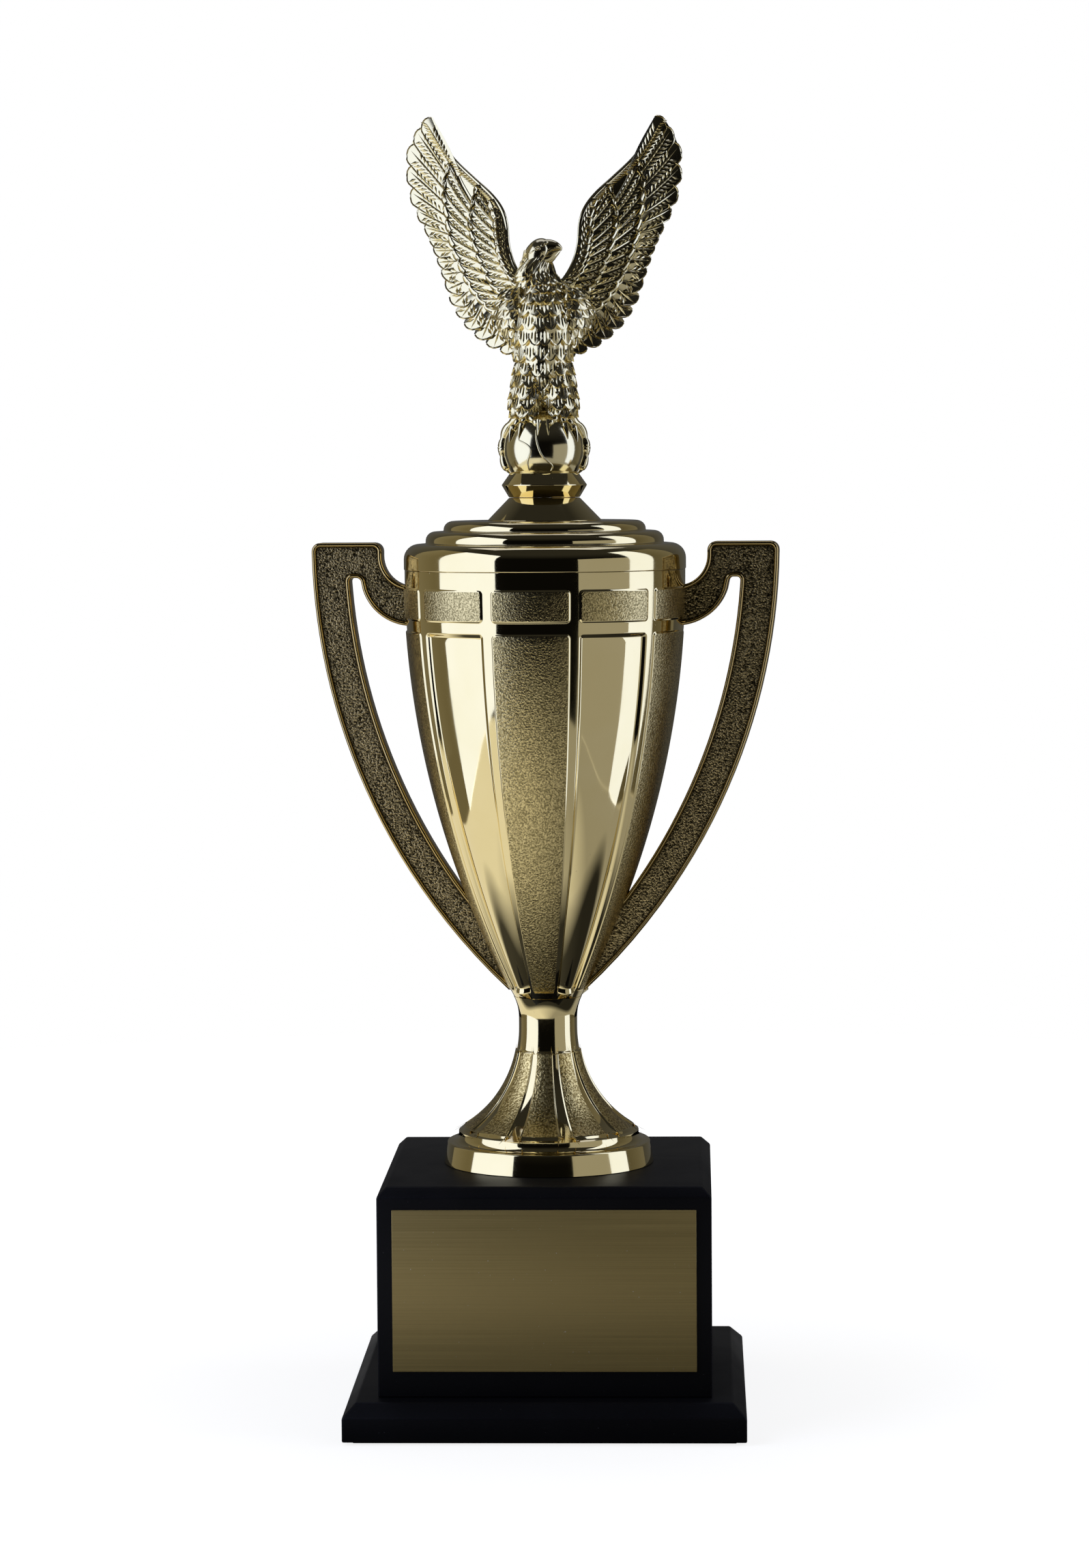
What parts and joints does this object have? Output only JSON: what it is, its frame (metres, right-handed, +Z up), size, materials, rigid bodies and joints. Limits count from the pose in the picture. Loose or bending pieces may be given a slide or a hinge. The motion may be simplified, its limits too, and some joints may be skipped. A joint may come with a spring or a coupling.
{
  "type": "cup trophy",
  "caption": "Lidded gold cup trophy with side handles and panelled bowl, on a tiered black base with an engraving plate, topped by a spread-winged eagle on a ball.",
  "frame": {"origin": "on the table, under the middle of the base", "axes": "+Z up, the engraving plate faces -Y, +X to the right of someone facing the plate"},
  "size_m": [0.1408, 0.118, 0.3898],
  "materials": {
    "gold_plating": "vacuum-metallised gold, polished, with fine-textured panels",
    "bronze_plating": "vacuum-metallised antique gold, textured inside a polished rim",
    "pale_plating": "vacuum-metallised pale gold, polished",
    "brushed_plate": "brushed along its length",
    "black_lacquer": "satin black lacquer",
    "felt": "pressed felt",
    "tape": "double-sided foam tape",
    "steel": "bright zinc plated"
  },
  "bodies": {
    "base": {"plinth": "black_lacquer", "base_block": "black_lacquer", "block_screws": "steel", "felt_pad": "felt", "engraving_plate": "brushed_plate", "plate_tape": "tape", "stem": "gold_plating", "bowl": "gold_plating", "handle_left": "bronze_plating", "handle_right": "bronze_plating", "tie_rod": "steel", "rod_washer_top": "steel", "rod_nut_top": "steel", "rod_washer_bottom": "steel", "rod_nut_bottom": "steel"},
    "lid": {"lid": "gold_plating", "finial_cone": "gold_plating"},
    "figure": {"finial_collar": "gold_plating", "perch_ball": "pale_plating", "eagle": "pale_plating", "figure_stud": "steel", "lid_washer": "steel", "lid_nut": "steel"}
  },
  "joints": [
    {"name": "lid_lift", "type": "slide", "parent": "base", "child": "lid", "axis": [0, 0, 1], "range_m": [0, 0.06]},
    {"name": "figure_turn", "type": "hinge", "parent": "lid", "child": "figure", "pos_m": [0, 0, 0.278], "axis": [0, 0, 1], "continuous": true}
  ]
}
